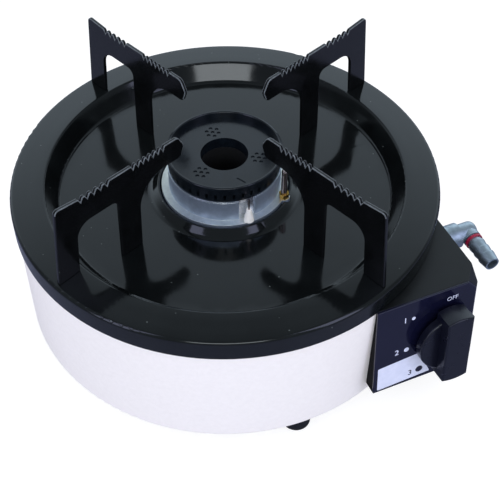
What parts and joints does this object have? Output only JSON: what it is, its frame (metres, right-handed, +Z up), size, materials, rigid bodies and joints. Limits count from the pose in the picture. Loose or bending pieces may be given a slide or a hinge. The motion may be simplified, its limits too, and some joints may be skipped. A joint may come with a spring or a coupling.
{
  "type": "camping gas burner",
  "caption": "Round table-top gas burner: enamelled spill tray on a white drum, ring burner with a loose cap, upright pan supports, push and turn knob, swivelling hose elbow.",
  "frame": {"origin": "on the drum's axis, at the surface the rubber feet stand on", "axes": "+Z up along the drum's axis, the fascia with the knob faces -Y, the hose elbow is on the +X side"},
  "size_m": [0.2834, 0.2999, 0.168],
  "materials": {
    "drum_paint": "white textured powder coat",
    "tray_enamel": "black gloss vitreous enamel",
    "support_enamel": "black enamel",
    "zinc_sheet": "galvanised sheet",
    "bright_screws": "zinc-plated steel",
    "cast_aluminium": "die cast, satin",
    "cap_enamel": "black satin heat-proof coat",
    "ceramic": "glazed white ceramic",
    "probe_steel": "drawn wire",
    "brass": "turned",
    "copper": "drawn copper tube",
    "box_paint": "dark satin paint",
    "fascia_gloss": "printed gloss panel",
    "knob_plastic": "moulded black, satin gloss",
    "igniter_plastic": "moulded",
    "lead_rubber": "silicone sleeve",
    "cast_zinc": "plated zinc casting",
    "ring_red": "red plastic",
    "rubber": "black moulded rubber"
  },
  "bodies": {
    "stove": {"drum_shell": "drum_paint", "top_tray": "tray_enamel", "pan_support_1": "support_enamel", "pan_support_2": "support_enamel", "pan_support_3": "support_enamel", "pan_support_4": "support_enamel", "base_plate": "zinc_sheet", "valve_bracket": "zinc_sheet", "foot_screw_1": "bright_screws", "foot_screw_2": "bright_screws", "foot_screw_3": "bright_screws", "foot_screw_4": "bright_screws", "tray_screw_1": "bright_screws", "tray_screw_2": "bright_screws", "tray_screw_3": "bright_screws", "burner_cup": "cast_aluminium", "clamp_ring": "cast_aluminium", "mixing_tube": "cast_aluminium", "air_collar": "cast_aluminium", "electrode_insulator": "ceramic", "electrode_pin": "probe_steel", "thermocouple_probe": "probe_steel", "thermocouple_nut": "brass", "valve_body": "brass", "valve_nut": "brass", "injector": "brass", "inlet_nut": "brass", "gas_tube": "copper", "inlet_pipe": "copper", "thermocouple_lead": "copper", "control_box": "box_paint", "fascia_panel": "fascia_gloss", "piezo_igniter": "igniter_plastic", "ignition_lead": "lead_rubber", "gas_inlet": "cast_zinc", "swivel_seal": "rubber", "rubber_foot_1": "rubber", "rubber_foot_2": "rubber", "rubber_foot_3": "rubber", "rubber_foot_4": "rubber"},
    "push_collar": {"thrust_collar": "brass"},
    "knob": {"control_knob": "knob_plastic", "valve_spindle": "brass"},
    "plug": {"valve_plug": "brass"},
    "cap": {"burner_cap": "cap_enamel"},
    "elbow": {"hose_elbow": "cast_zinc", "depth_ring": "ring_red"}
  },
  "joints": [
    {"name": "knob_push", "type": "slide", "parent": "stove", "child": "push_collar", "axis": [0, 0.9945, -0.1045], "range_m": [0, 0.003], "stiffness_N_per_m": 800, "springref_m": -0.003},
    {"name": "knob_turn", "type": "hinge", "parent": "push_collar", "child": "knob", "pos_m": [0.0918, -0.13892, 0.0577], "axis": [0, -0.9945, 0.1045], "range_deg": [0, 147]},
    {"name": "plug_turn", "type": "hinge", "parent": "stove", "child": "plug", "pos_m": [0.0918, -0.13892, 0.0577], "axis": [0, -0.9945, 0.1045], "range_deg": [0, 147]},
    {"name": "burner_cap_lift", "type": "slide", "parent": "stove", "child": "cap", "axis": [0, 0, 1], "range_m": [0, 0.0155]},
    {"name": "elbow_swivel", "type": "hinge", "parent": "stove", "child": "elbow", "pos_m": [0.1165, -0.08891, 0.0844], "axis": [1, 0, 0], "range_deg": [-90, 90]}
  ],
  "couplings": [
    {"joint": "plug_turn", "follows": "knob_turn", "ratio": 1}
  ]
}
